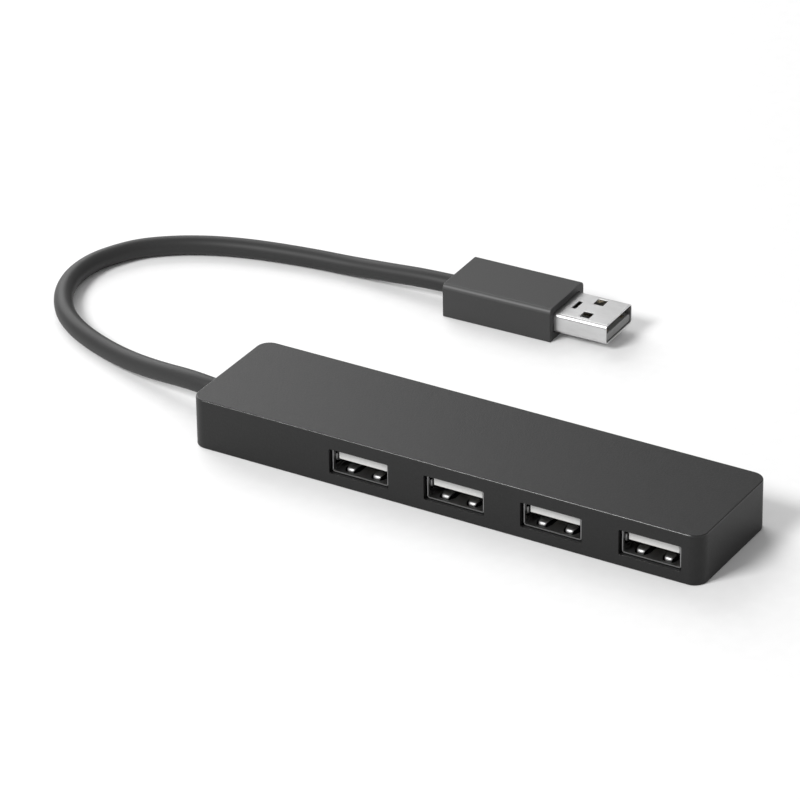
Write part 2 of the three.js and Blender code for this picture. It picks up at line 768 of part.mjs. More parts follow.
function cable() {
  const route = cableRoute();
  const last = route.length - 1;
  route[0][0] -= faceGap;
  route[last][0] -= faceGap;
  return tube(route, cableRadius, 8, 22);
}

// ---------------------------------------------------------------- plug
// Local frame of the plug: x out of the overmould's front face, y across, z up from the
// surface.

function plugOvermould() {
  const section = roundedRectangle(
    overmouldWidth, overmouldHeight, overmouldCorner, 0, plugAxis, overmouldLowerCorner);
  const holdWidth = plugShellWidth / 2 + overmouldGap;
  const holdHeight = plugShellHeight / 2 + overmouldGap;
  const mouldWidth = innerMouldWidth / 2 + overmouldGap;
  const mouldHeight = innerMouldHeight / 2 + overmouldGap;
  const mouldEnd = -plugShellRoot - innerMouldLength - 2 * overmouldGap;
  return geometryOf(cut(
    solid(barAlongX(section, -overmouldLength, 0, overmouldBevel, 5)),
    block([-plugShellRoot - overmouldGap, -holdWidth, plugAxis - holdHeight],
      [1, holdWidth, plugAxis + holdHeight]),
    block([mouldEnd, -mouldWidth, plugAxis - mouldHeight],
      [-plugShellRoot - overmouldGap / 2, mouldWidth, plugAxis + mouldHeight]),
  ));
}

function plugShell() {
  const height = plugShellHeight - 2 * plugShellSheet;
  const width = plugShellWidth - 2 * plugShellSheet;
  let shell = cut(
    solid(barAlongX(
      roundedRectangle(plugShellWidth, plugShellHeight, plugShellCorner, 0, plugAxis),
      -plugShellRoot, plugShellReach)),
    solid(barAlongX(
      roundedRectangle(width, height, plugShellCorner - plugShellSheet, 0, plugAxis),
      -plugShellRoot - 1, plugShellReach + 1)),
  );
  // Windows in the roof and the floor that the socket's springs latch into.
  const middle = plugShellReach - plugWindowInset;
  for (const side of [-1, 1]) {
    const y = side * plugWindowOffset;
    shell = cut(shell, block(
      [middle - plugWindowLength / 2, y - plugWindowWidth / 2, 0],
      [middle + plugWindowLength / 2, y + plugWindowWidth / 2, overmouldHeight]));
  }
  const slot = block(
    [plugSlotReach - plugSlotWidth / 2, -plugSlotLength / 2, plugAxis],
    [plugSlotReach + plugSlotWidth / 2, plugSlotLength / 2, overmouldHeight]);
  return geometryOf(cut(shell, slot));
}

const insulatorBottom = plugAxis - plugShellHeight / 2 + plugShellSheet + plugInsulatorGap;
const insulatorTop = plugAxis + plugShellHeight / 2 - plugShellSheet - plugCavity;

function plugInsulator() {
  const section = roundedRectangle(
    plugShellWidth - 2 * (plugShellSheet + plugInsulatorGap), insulatorTop - insulatorBottom,
    plugShellCorner - plugShellSheet, 0, (insulatorBottom + insulatorTop) / 2);
  let body = solid(barAlongX(
    section, -plugShellRoot + plugInsulatorRecess, plugShellReach - plugInsulatorRecess, 0, 1));
  contactOffsets.forEach((offset, index) => {
    const half = contactWidth / 2 + contactGap;
    body = cut(body, block(
      [-plugShellRoot - 1, offset - half, insulatorTop - contactSheet - 2 * contactGap],
      [plugShellReach - plugContactInset[index] + contactGap, offset + half, insulatorTop + 1]));
  });
  return geometryOf(body);
}

function plugContact(index) {
  const half = contactWidth / 2;
  const offset = contactOffsets[index];
  const top = insulatorTop - contactGap;
  return geometryOf(block(
    [-plugShellRoot + 2 * plugInsulatorRecess, offset - half, top - contactSheet],
    [plugShellReach - plugContactInset[index], offset + half, top]));
}

function plugInnerMould() {
  const section = roundedRectangle(
    innerMouldWidth, innerMouldHeight, innerMouldCorner, 0, plugAxis);
  const front = -plugShellRoot - 2 * overmouldGap;
  return barAlongX(section, front - innerMouldLength + overmouldGap, front, 0.2, 2);
}

// ---------------------------------------------------------------- assembly

const hub = new THREE.Group();

hub.add(named('top_shell', topShell(), casePlastic));
hub.add(named('bottom_cover', bottomCover(), casePlastic));
hub.add(named('circuit_board', circuitBoard(), boardBlack));

// The tall components stand level with the gaps between the sockets, clear of the contact
// tails. The fuse lies beside the wires' pads.
const capacitorSpread = bulkCapacitorFoot / 2 + boardGap;
const fuseX = anchorEnd + wireReach + 5;
hub.add(named('crystal', crystalCan(clipX(1), componentY), canMetal));
hub.add(named('hub_controller', hubController(clipX(2), componentY), chipBlack));
hub.add(named('bulk_capacitor_1', bulkCapacitor(clipX(3) - capacitorSpread, componentY), canMetal));
hub.add(named('bulk_capacitor_2', bulkCapacitor(clipX(3) + capacitorSpread, componentY), canMetal));
hub.add(named('supply_fuse', chipComponent(fuseX, componentY, 4.5, 3.2, 0.8), chipBlack));

const socketShape = socketShell();
const insulatorShape = socketInsulator();
for (let index = 0; index < portCount; index += 1) {
  const port = index + 1;
  const socket = new THREE.Group();
  socket.position.set(portX(index), socketFront, socketBottom);
  socket.add(named(`socket_${port}_shell`, socketShape, brightMetal));
  socket.add(named(`socket_${port}_insulator`, insulatorShape, whitePlastic));
  contactOffsets.forEach((offset, place) => {
    socket.add(named(`socket_${port}_contact_${place + 1}`, socketContact(offset), goldPlate));
  });
  hub.add(socket);
  const capacitor = chipComponent(portX(index), socketRear + portCapacitorInset, 2, 1.25, 0.9);
  hub.add(named(`port_capacitor_${port}`, capacitor, ceramic));
}

hub.add(named('cable_anchor', cableAnchor(), cableRubber));
['red', 'white', 'green', 'black'].forEach((colour, index) => {
  hub.add(named(`wire_${colour}`, innerWire(index), wireColours[index]));
});
hub.add(named('cable', cable(), cableRubber));

const plug = new THREE.Group();
const [plugRearX, plugRearY] = cableRoute().at(-1);
const turn = THREE.MathUtils.degToRad(plugTurn);
plug.position.set(
  plugRearX + overmouldLength * Math.cos(turn), plugRearY + overmouldLength * Math.sin(turn), 0);
plug.rotation.z = turn;
plug.add(named('plug_overmould', plugOvermould(), casePlastic));
plug.add(named('plug_shell', plugShell(), brightMetal));
plug.add(named('plug_insulator', plugInsulator(), greyPlastic));
plug.add(named('plug_inner_mould', plugInnerMould(), whitePlastic));
contactOffsets.forEach((offset, index) => {
  plug.add(named(`plug_contact_${index + 1}`, plugContact(index), goldPlate));
});
hub.add(plug);

export default hub;
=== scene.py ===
"""Looks of a slim four-port USB hub with a captive cable and a type-A plug.

Metres, in the CAD model's frame: +X along the case to its free end, the sockets face -Y,
and the case stands on z = 0. Places, and the sizes of the case and its cover, are read from
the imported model. The other sizes are named below and repeat the CAD model's.
"""
import json
import math

import bmesh
import bpy
from mathutils import Matrix, Vector


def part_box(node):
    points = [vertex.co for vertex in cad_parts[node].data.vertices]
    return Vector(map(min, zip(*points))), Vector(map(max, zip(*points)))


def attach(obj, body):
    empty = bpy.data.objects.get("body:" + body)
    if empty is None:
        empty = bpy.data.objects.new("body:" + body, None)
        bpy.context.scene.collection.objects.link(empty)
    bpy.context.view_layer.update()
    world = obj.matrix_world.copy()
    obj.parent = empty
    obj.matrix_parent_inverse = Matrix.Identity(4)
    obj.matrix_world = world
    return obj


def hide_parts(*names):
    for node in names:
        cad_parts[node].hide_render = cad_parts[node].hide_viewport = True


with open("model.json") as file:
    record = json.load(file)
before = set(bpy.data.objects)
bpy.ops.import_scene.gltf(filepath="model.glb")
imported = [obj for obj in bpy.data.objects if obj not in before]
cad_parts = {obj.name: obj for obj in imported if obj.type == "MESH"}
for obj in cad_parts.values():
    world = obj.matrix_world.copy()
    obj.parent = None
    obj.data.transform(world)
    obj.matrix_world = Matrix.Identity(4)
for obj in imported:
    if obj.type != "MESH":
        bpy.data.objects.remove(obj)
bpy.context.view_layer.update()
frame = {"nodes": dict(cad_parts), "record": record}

BODY = "root"
MM = 0.001

# ------------------------------------------------------------------ places from the frame

case_low, case_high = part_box("top_shell")
case_size = case_high - case_low
cover_low, cover_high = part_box("bottom_cover")
anchor_low, anchor_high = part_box("cable_anchor")
PORTS = range(1, 5)

plug_mount = next(
    mount for mount in frame["record"]["mounts"] if mount["name"] == "plug_end")
plug_axis = Vector(plug_mount["axis"]).normalized()
plug_turn = math.atan2(plug_axis.y, plug_axis.x)
overmould_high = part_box("plug_overmould")[1]

# ------------------------------------------------------------------ detail sizes

# How far a cutting tool runs past what it cuts, and a piece to be joined into its neighbour.
OVERRUN = 1 * MM

# Case. Each opening goes through a thin skin into a wider pocket that holds the socket.
CASE_CORNER = 3 * MM
CASE_EDGE = 0.3 * MM
WALL = 1.6 * MM
ROOF = 1.6 * MM
OPENING_SKIN = 0.6 * MM
OPENING_SIDE = 0.35 * MM
OPENING_FLOOR = 0.15 * MM
OPENING_LAP = 0.32 * MM
OPENING_CORNER = 0.3 * MM
OPENING_EDGE = 0.12 * MM
POCKET_HEAD = 0.2 * MM
POCKET_OVERRUN = 0.3 * MM
BUSH_RADIUS = 3 * MM
BUSH_GAP = 0.2 * MM

# Bottom cover. A clip's foot starts inside the plate, and its barb ends in a ramp.
COVER_GAP = 0.2 * MM
COVER_CORNER = 1.2 * MM
COVER_EDGE = 0.2 * MM
COVER_PLATE = 1.1 * MM
CLIP_OUTER = 12.5 * MM
CLIP_THICKNESS = 1.2 * MM
CLIP_WIDTH = 5.4 * MM
CLIP_FOOT = 0.7 * MM
CLIP_EDGE = 0.08 * MM
BARB = 0.7 * MM
BARB_LEVEL = 3.3 * MM
BARB_LIP = 0.3 * MM
BARB_RAMP = 1.2 * MM
PORT_PITCH = 22 * MM

# Sockets
SHEET = 0.3 * MM
SOCKET_INSIDE = Vector((12.5, 5.12)) * MM
SOCKET_OUTER = SOCKET_INSIDE + Vector((2 * SHEET, 2 * SHEET))
SOCKET_DEPTH = 13.6 * MM
SOCKET_CORNER = 0.6 * MM
SOCKET_EDGE = 0.06 * MM
TONGUE_WIDTH = 11.1 * MM
TONGUE_THICKNESS = 1.84 * MM
TONGUE_HEADROOM = 0.98 * MM
TONGUE_SETBACK = 1.1 * MM
TONGUE_LENGTH = 8.6 * MM
TONGUE_NOSE = 0.12 * MM
TONGUE_ROOT = 0.3 * MM  # how far it runs into the block behind it
BLOCK_DEPTH = 3.2 * MM
BLOCK_GAP = 0.2 * MM
BLOCK_CORNER = 0.3 * MM
INSULATOR_EDGE = 0.07 * MM
SPRING_SPREAD = 3.05 * MM
SPRING_ROOT = 9.4 * MM
SPRING_TIP = 1.25 * MM
SPRING_RISE = 0.72 * MM
LOW_SPRING_RISE = 0.45 * SPRING_RISE  # of the roof's and the side walls' springs
SPRING_WIDTH = 2.2 * MM
SPRING_SHEET = 0.92 * SHEET  # a touch thinner than the sheet that it grows out of
SPRING_SLOT = 0.4 * MM
SLOT_AT_TIP, SLOT_AT_ROOT = 0.3, 0.6  # half its width, as shares of the spring's
SLOT_SHOULDER = 1.3 * MM
SIDE_SLOT_FROM = 0.45  # of the socket's width, from its middle
LEG_DEPTHS = (5.2 * MM, 10.6 * MM)
LEG_HALF_WIDTH = 0.8 * MM
LEG_TOP = 1 * MM
LEG_EDGE = 0.05 * MM
TAIL_SETBACK = 0.35 * MM  # of the contacts' tails, behind the block
TAIL_OPENING = (5.45 * MM, 0.6 * MM)  # half its width, and how far it starts before the tails
CONTACT_WIDTH = 1 * MM
CONTACT_SHEET = 0.25 * MM
CONTACT_OFFSETS = [-3.5 * MM, -1 * MM, 1 * MM, 3.5 * MM]
CONTACT_BULGE = 0.3 * MM
CONTACT_SETBACK = 1 * MM  # from the tongue's front end
CONTACT_EDGE = 0.03 * MM
CONTACT_GAP = 0.1 * MM  # between a contact and the sides and floor of its groove
GROOVE_HEADROOM = 0.2 * MM
GROOVE_START = 0.8 * MM

# Cable and its anchor
CABLE_RADIUS = 2.1 * MM
CABLE_REST = 2.15 * MM
CABLE_SAMPLES = 140
INTO_CASE = 0.5 * MM
INTO_PLUG = 0.6 * MM
ANCHOR_LENGTH = 6 * MM
ANCHOR_WIDTH = 9 * MM
ANCHOR_HEIGHT = 7 * MM
ANCHOR_CORNER = 0.8 * MM
ANCHOR_EDGE = 0.3 * MM
BUSH_EDGE = 0.25 * MM

# Plug. Vectors are (along, across, up) or (along, across).
OVERMOULD = Vector((25.9, 15.4, 7.8)) * MM
OVERMOULD_CORNER = 1.2 * MM
OVERMOULD_LOWER_CORNER = 0.3 * MM
OVERMOULD_EDGE = 0.15 * MM
OVERMOULD_GAP = 0.15 * MM  # round the shell and the inner mould
INNER_MOULD_HALF = (5.5 * MM, 2.7 * MM)
INNER_MOULD_REACH = 8.3 * MM
PLUG_SHELL = Vector((12.4, 12, 4.5)) * MM
PLUG_ROOT = 8.5 * MM
PLUG_CORNER = 0.9 * MM
PLUG_EDGE = 0.07 * MM
PLUG_CAVITY = 1.95 * MM
WINDOW = Vector((2.3, 2.5)) * MM
WINDOW_CORNER = 0.15 * MM
WINDOW_OFFSET = 3.2 * MM
WINDOW_INSET = 6 * MM
LANCE = Vector((1, 3.6)) * MM
LANCE_CORNER = 0.3 * MM
LANCE_REACH = 2.5 * MM
SEAM = 0.05 * MM
INSULATOR_SETBACK = 0.3 * MM  # from both ends of the shell
INSULATOR_GAP = 0.1 * MM
PLUG_CONTACT_INSETS = [0.9 * MM, 1.9 * MM, 1.9 * MM, 0.9 * MM]
PLUG_CONTACT_REAR = 0.6 * MM
PLUG_INSIDE_EDGE = 0.08 * MM  # of the insulator and its contacts

# The cable's way from the case's end face to the plug: (x, y, lift), x and y in mm from the exit.
# Lift 1 is the height that it leaves or enters at, and lift 0 lies on the surface.
LEAVING_CASE = [
    (0, 0, 1), (-4, 0.1, 1), (-8, 0.8, 0.95), (-12, 1.7, 0.82), (-16.5, 2.7, 0.63),
    (-21.3, 3.9, 0.43), (-26.5, 5.4, 0.24), (-31.7, 7.1, 0.1), (-37, 9.1, 0.02),
]
ON_SURFACE = [
    (-42.2, 11.3, 0), (-47.7, 14.3, 0), (-53.2, 18.8, 0), (-57.9, 25.2, 0), (-60.5, 32, 0),
    (-61, 38.4, 0), (-59.7, 44.3, 0), (-55.9, 51.2, 0), (-50, 56.4, 0), (-43.2, 60.2, 0),
    (-35.6, 62.9, 0), (-27.5, 64.7, 0), (-19.2, 66, 0),
]
REACHING_PLUG = [(-11, 66.6, 0.1), (-2, 66.7, 0.48), (7, 66.9, 0.87), (16.1, 67.3, 1)]

# ------------------------------------------------------------------ mesh tools


def link(name, data):
    piece = bpy.data.objects.new(name, data)
    bpy.context.scene.collection.objects.link(piece)
    return piece


def mesh_object(name, bm):
    bmesh.ops.recalc_face_normals(bm, faces=bm.faces)
    mesh = bpy.data.meshes.new(name)
    bm.to_mesh(mesh)
    bm.free()
    return link(name, mesh)


def rounded_outline(width, height, radius, segments=8, centre=(0, 0), lower=None):
    """Points round a rectangle with round corners, anticlockwise. Lower corners may differ."""
    points = []
    corners = [(1, 1), (-1, 1), (-1, -1), (1, -1)]
    for quarter, (side_a, side_b) in enumerate(corners):
        corner = lower if lower and side_b < 0 else radius
        for step in range(segments + 1):
            angle = (quarter + step / segments) * math.pi / 2
            points.append((
                centre[0] + side_a * (width / 2 - corner) + corner * math.cos(angle),
                centre[1] + side_b * (height / 2 - corner) + corner * math.sin(angle),
            ))
    return points


# Where an outline's two coordinates and the way along it go, for each direction.
PLACE = {
    "X": lambda a, b, t: (t, a, b),
    "Y": lambda a, b, t: (a, t, b),
    "Z": lambda a, b, t: (a, b, t),
}


def prism(outline, start, end, direction="Z", name="prism"):
    """A closed bar with that outline: (y, z) along X, (x, z) along Y, (x, y) along Z."""
    bm = bmesh.new()
    rings = [
        [bm.verts.new(PLACE[direction](a, b, t)) for a, b in outline] for t in (start, end)
    ]
    count = len(outline)
    for index in range(count):
        after = (index + 1) % count
        bm.faces.new((rings[0][index], rings[0][after], rings[1][after], rings[1][index]))
    bm.faces.new(rings[0])
    bm.faces.new(rings[1])
    return mesh_object(name, bm)


def block(low, high, name="block"):
    outline = [(low[0], low[1]), (high[0], low[1]), (high[0], high[1]), (low[0], high[1])]
    return prism(outline, low[2], high[2], "Z", name)


def round_bar(radius, centre, start, end, direction, segments=48, name="round_bar"):
    outline = [
        (centre[0] + radius * math.cos(2 * math.pi * step / segments),
         centre[1] + radius * math.sin(2 * math.pi * step / segments))
        for step in range(segments)
    ]
    return prism(outline, start, end, direction, name)


def apply_modifiers(piece):
    bpy.context.view_layer.update()
    graph = bpy.context.evaluated_depsgraph_get()
    mesh = bpy.data.meshes.new_from_object(piece.evaluated_get(graph))
    piece.modifiers.clear()
    piece.data = mesh
    return piece


def boolean(piece, tools, operation="DIFFERENCE"):
    for tool in tools:
        modifier = piece.modifiers.new("boolean", "BOOLEAN")
        modifier.operation = operation
        modifier.solver = "EXACT"
        modifier.object = tool
    apply_modifiers(piece)
    for tool in tools:
        bpy.data.objects.remove(tool)
    return piece


def round_edges(piece, width, segments=3, angle=35):
    """Rounds every edge that is sharper than the angle, and applies it."""
    modifier = piece.modifiers.new("bevel", "BEVEL")
    modifier.width = width
    modifier.segments = segments
    modifier.limit_method = "ANGLE"
    modifier.angle_limit = math.radians(angle)
    modifier.use_clamp_overlap = True
    modifier.miter_outer = "MITER_ARC"
    return apply_modifiers(piece)


def smooth(piece, angle=40):
    """Smooth shading that keeps flat faces flat and true corners sharp."""
    piece.data.shade_smooth()
    piece.data.set_sharp_from_angle(angle=math.radians(angle))
    modifier = piece.modifiers.new("even_normals", "WEIGHTED_NORMAL")
    modifier.keep_sharp = True
    modifier.weight = 90
    return piece


def smooth_path(points, samples):
    """Points along a smooth line through the given ones (any number of coordinates)."""
    knots = [Vector(point) for point in points]
    first = knots[0] * 2 - knots[1]
    last = knots[-1] * 2 - knots[-2]
    knots = [first, *knots, last]
    spans = len(knots) - 3
    line = []
    for sample in range(samples + 1):
        place = min(sample / samples * spans, spans - 1e-9)
        span = int(place)
        t = place - span
        a, b, c, d = knots[span:span + 4]
        line.append(0.5 * (
            2 * b + (c - a) * t + (2 * a - 5 * b + 4 * c - d) * t ** 2
            + (3 * b - a - 3 * c + d) * t ** 3))
    return line


def ribbon(name, path, thickness, centre=0.0, samples=36, edge=0.04 * MM):
    """A bent strip of sheet along a smooth path of (y, z, width, crown), centred on x. The
    crown is how far the strip's middle stands above its edges."""
    line = smooth_path(path, samples)
    across = [-1, -0.6, -0.2, 0.2, 0.6, 1]
    upward = 1 if line[-1][0] > line[0][0] else -1
    bm = bmesh.new()
    rings = []
    for index, (y, z, width, crown) in enumerate(line):
        before = line[max(index - 1, 0)]
        after = line[min(index + 1, len(line) - 1)]
        along = (after - before).to_2d().normalized()
        normal = Vector((-along.y, along.x)) * upward
        ring = []
        for side, shares in ((0.5, across), (-0.5, across[::-1])):
            for share in shares:
                lift = side * thickness + crown * (1 - share ** 2)
                ring.append(bm.verts.new((
                    centre + share * width / 2, y + normal.x * lift, z + normal.y * lift)))
        rings.append(ring)
    count = len(rings[0])
    for ring, following in zip(rings, rings[1:]):
        for side in range(count):
            after = (side + 1) % count
            bm.faces.new((ring[side], ring[after], following[after], following[side]))
    bm.faces.new(rings[0])
    bm.faces.new(rings[-1])
    strip = mesh_object(name, bm)
    return round_edges(strip, edge, 2, 60)


def own(piece, slot, material, *nodes):
    """Everything that a finished piece says: its material, its body, its nodes. The slot is not
    used.
    """
    piece.data.materials.clear()
    piece.data.materials.append(material)
    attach(piece, BODY)
    if nodes:
        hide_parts(*nodes)
    return piece


# ------------------------------------------------------------------ materials


def principled(name, color, roughness, metallic=0.0, **sockets):
    material = bpy.data.materials.new(name)
    material.use_nodes = True
    shader = material.node_tree.nodes["Principled BSDF"]
    shader.inputs["Base Color"].default_value = (*color, 1)
    shader.inputs["Roughness"].default_value = roughness
    shader.inputs["Metallic"].default_value = metallic
    for socket, value in sockets.items():
        shader.inputs[socket.replace("_", " ")].default_value = value
    return material, shader


def noise(material, scale, detail=3.0, roughness=0.5, stretch=None):
    """Noise over the piece's own coordinates; its scale is per metre."""
    nodes, links = material.node_tree.nodes, material.node_tree.links
    coordinates = nodes.new("ShaderNodeTexCoord")
    texture = nodes.new("ShaderNodeTexNoise")
    texture.inputs["Scale"].default_value = scale
    texture.inputs["Detail"].default_value = detail
    texture.inputs["Roughness"].default_value = roughness
    source = coordinates.outputs["Object"]
    if stretch:
        mapping = nodes.new("ShaderNodeMapping")
        mapping.inputs["Scale"].default_value = stretch
        links.new(source, mapping.inputs["Vector"])
        source = mapping.outputs["Vector"]
    links.new(source, texture.inputs["Vector"])
    return texture.outputs["Fac"]


def ramp(material, factor, stops):
    """A colour ramp: stops are (place, colour)."""
    node = material.node_tree.nodes.new("ShaderNodeValToRGB")
    elements = node.color_ramp.elements
    while len(elements) < len(stops):
        elements.new(0.5)
    for element, (position, color) in zip(elements, stops):
        element.position = position
        element.color = (*color, 1)
    material.node_tree.links.new(factor, node.inputs["Fac"])
    return node.outputs["Color"]


def spread(material, factor, low, high):
    """A factor from 0 to 1 spread between two values."""
    node = material.node_tree.nodes.new("ShaderNodeMapRange")
    node.inputs["To Min"].default_value = low
    node.inputs["To Max"].default_value = high
    material.node_tree.links.new(factor, node.inputs["Value"])
    return node.outputs["Result"]


def bump(material, shader, height, strength, distance):
    node = material.node_tree.nodes.new("ShaderNodeBump")
    node.inputs["Strength"].default_value = strength
    node.inputs["Distance"].default_value = distance
    links = material.node_tree.links
    links.new(height, node.inputs["Height"])
    links.new(node.outputs["Normal"], shader.inputs["Normal"])


def shade(color, share):
    return tuple(min(value * share, 1) for value in color)


# The upward part of the normal at which rounded edges begin and end.
EDGE_FROM, EDGE_FULL_FROM, EDGE_FULL_TO, EDGE_TO = 0.02, 0.2, 0.93, 0.995
EDGE_SPECULAR = 0.6
MOTTLE_SIZE = 40  # of the faint mottle in the roughness, against the grain
ROUGHNESS_SPREAD = 0.05


def by_slope(material, flat, edge):
    """A value for level and upright faces, and another for the rounded edges between them."""
    nodes, links = material.node_tree.nodes, material.node_tree.links
    geometry = nodes.new("ShaderNodeNewGeometry")
    split = nodes.new("ShaderNodeSeparateXYZ")
    links.new(geometry.outputs["Normal"], split.inputs["Vector"])
    return ramp(material, split.outputs["Z"], [
        (EDGE_FROM, (flat,) * 3), (EDGE_FULL_FROM, (edge,) * 3),
        (EDGE_FULL_TO, (edge,) * 3), (EDGE_TO, (flat,) * 3)])


def moulded_plastic(
        name, color, roughness, grain, depth, speckle=0.12, specular=0.3, edge=None):
    """Moulded plastic with a spark-eroded grain. Where edge is given, it is the roughness of
    the rounded edges; otherwise the roughness varies faintly over the piece."""
    material, shader = principled(name, color, roughness, Specular_IOR_Level=specular)
    links = material.node_tree.links
    fine = noise(material, grain, 4, 0.6)
    tint = ramp(material, fine, [
        (0.3, shade(color, 1 - speckle)), (0.7, shade(color, 1 + speckle))])
    links.new(tint, shader.inputs["Base Color"])
    if edge:
        links.new(by_slope(material, roughness, edge), shader.inputs["Roughness"])
        links.new(
            by_slope(material, specular, EDGE_SPECULAR), shader.inputs["Specular IOR Level"])
    else:
        broad = noise(material, grain / MOTTLE_SIZE, 2)
        links.new(
            spread(material, broad, roughness - ROUGHNESS_SPREAD, roughness + ROUGHNESS_SPREAD),
            shader.inputs["Roughness"])
    bump(material, shader, fine, 0.5, depth)
    return material


# Noise scales of plated sheet: the rolling lines, and the cloud in its roughness.
ROLLING_LINES, PLATING_CLOUD = 900, 260


def plated_sheet(name, color, roughness, stretch):
    """Bright plated sheet with faint rolling lines, drawn out along the smallest stretch."""
    material, shader = principled(name, color, roughness, 1.0)
    links = material.node_tree.links
    lines = noise(material, ROLLING_LINES, 3, 0.6, stretch)
    cloud = noise(material, PLATING_CLOUD, 3, 0.6)
    links.new(
        spread(material, cloud, roughness - ROUGHNESS_SPREAD, roughness + 0.08),
        shader.inputs["Roughness"])
    tint = ramp(material, lines, [(0.25, shade(color, 0.93)), (0.75, shade(color, 1.04))])
    links.new(tint, shader.inputs["Base Color"])
    bump(material, shader, lines, 0.05, 0.01 * MM)
    return material


def solder_mask(name):
    """Black laminate: copper tracks show as slightly raised, lighter stripes."""
    dark, light = (0.008, 0.008, 0.009), (0.016, 0.016, 0.017)
    material, shader = principled(name, light, 0.4)
    tracks = noise(material, 420, 0, 0.5, (1, 0.25, 1))
    tint = ramp(material, tracks, [(0.48, dark), (0.52, light)])
    material.node_tree.links.new(tint, shader.inputs["Base Color"])
    bump(material, shader, tracks, 0.3, 0.03 * MM)
    return material


case_plastic = moulded_plastic(
    "case_plastic", (0.011, 0.011, 0.011), roughness=0.46, grain=2300, depth=0.06 * MM,
    speckle=0.2, specular=0.3, edge=0.26)
overmould_plastic = moulded_plastic(
    "overmould_plastic", (0.045, 0.045, 0.045), roughness=0.5, grain=3600, depth=0.012 * MM,
    speckle=0.06, specular=0.22, edge=0.48)
cable_jacket = moulded_plastic(
    "cable_jacket", (0.026, 0.026, 0.026), roughness=0.5, grain=2200, depth=0.01 * MM,
    speckle=0.06)
white_plastic = moulded_plastic(
    "white_plastic", (0.64, 0.64, 0.63), roughness=0.45, grain=1500, depth=0.006 * MM,
    speckle=0.03)
nickel_plate = plated_sheet("nickel_plate", (0.64, 0.64, 0.64), 0.36, (0.3, 1, 1))
dark_nickel = plated_sheet("dark_nickel", (0.28, 0.28, 0.28), 0.38, (1, 0.08, 1))
gold_plate = plated_sheet("gold_plate", (0.52, 0.44, 0.3), 0.3, (1, 0.1, 1))
# Painted shade: the plug's insulator is white plastic like the sockets' tongues, darkened to grey
# to stand in for the shade inside the plug's shell.
grey_plastic = moulded_plastic(
    "grey_plastic", (0.22, 0.22, 0.22), roughness=0.45, grain=1500, depth=0.006 * MM,
    speckle=0.03)
board_laminate = solder_mask("board_laminate")
chip_epoxy = moulded_plastic(
    "chip_epoxy", (0.012, 0.012, 0.013), roughness=0.55, grain=2500, depth=0.01 * MM)
can_metal = plated_sheet("can_metal", (0.7, 0.7, 0.72), 0.32, (1, 1, 0.1))
ceramic_chip = moulded_plastic(
    "ceramic_chip", (0.4, 0.28, 0.15), roughness=0.5, grain=2500, depth=0.005 * MM)
WIRE_COLORS = {
    "red": (0.45, 0.02, 0.02), "white": (0.75, 0.75, 0.72),
    "green": (0.02, 0.25, 0.05), "black": (0.012, 0.012, 0.012),
}
wire_jackets = {
    colour: moulded_plastic(
        f"wire_{colour}", value, roughness=0.4, grain=2500, depth=0.004 * MM, speckle=0.05)
    for colour, value in WIRE_COLORS.items()
}

# ------------------------------------------------------------------ camera

# The photograph's view: a long lens from the free end's side, above the sockets.
AZIMUTH, ELEVATION, ROLL = math.radians(30.99), math.radians(28.62), math.radians(-0.86)
DISTANCE = 1.0121
AIM = Vector((-0.01572, -0.00274, 0.01641))
SENSOR = 36
VIEW_PIXELS = 800
FOCAL_PIXELS = 5047


def add_camera():
    data = bpy.data.cameras.new("camera")
    data.sensor_width = SENSOR
    data.lens = FOCAL_PIXELS / VIEW_PIXELS * SENSOR
    data.clip_start, data.clip_end = 0.05, 20
    camera = link("camera", data)
    back = Vector((
        math.sin(AZIMUTH) * math.cos(ELEVATION), -math.cos(AZIMUTH) * math.cos(ELEVATION),
        math.sin(ELEVATION)))
    turn = (-back).to_track_quat("-Z", "Y").to_matrix().to_4x4()
    camera.matrix_world = (
        Matrix.Translation(AIM + back * DISTANCE) @ turn @ Matrix.Rotation(ROLL, 4, "Z"))
    bpy.context.scene.camera = camera


add_camera()

# ------------------------------------------------------------------ cable

exit_point = Vector((case_low.x, 0, case_high.z / 2))
plug_height = overmould_high.z / 2


def route_point(x, y, lift, height):
    rise = CABLE_REST + lift * (height - CABLE_REST)
    return Vector((exit_point.x + x * MM, y * MM, rise))


route = (
    [route_point(x, y, lift, exit_point.z) for x, y, lift in LEAVING_CASE]
    + [route_point(x, y, lift, CABLE_REST) for x, y, lift in ON_SURFACE]
    + [route_point(x, y, lift, plug_height) for x, y, lift in REACHING_PLUG]
)


def make_cable():
    """The jacket as a round curve; its two ends go a little way into the bush and the plug."""
    line = smooth_path(route, CABLE_SAMPLES)
    into_case = line[0] + Vector((INTO_CASE, 0, 0))
    into_plug = line[-1] + plug_axis * INTO_PLUG
    points = [into_case, *line, into_plug]
    curve = bpy.data.curves.new("cable_jacket", "CURVE")
    curve.dimensions = "3D"
    curve.bevel_depth = CABLE_RADIUS
    curve.bevel_resolution = 12
    curve.use_fill_caps = True
    curve.twist_mode = "MINIMUM"
    spline = curve.splines.new("POLY")
    spline.points.add(len(points) - 1)
    for spot, point in zip(spline.points, points):
        spot.co = (*point, 1)
    spline.use_smooth = True
    length = sum((b - a).length for a, b in zip(points, points[1:]))
    return link("cable_jacket", curve), length


cable, cable_length = make_cable()
cable.data.materials.append(cable_jacket)
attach(cable, BODY)
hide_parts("cable")

# ------------------------------------------------------------------ case


def socket_base(port):
    """Middle of a socket's front edge, at its underside."""
    low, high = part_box(f"socket_{port}_shell")
    insulator_low, insulator_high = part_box(f"socket_{port}_insulator")
    middle = (insulator_low.z + insulator_high.z) / 2
    return Vector(((low.x + high.x) / 2, low.y, middle - SOCKET_OUTER.y / 2))


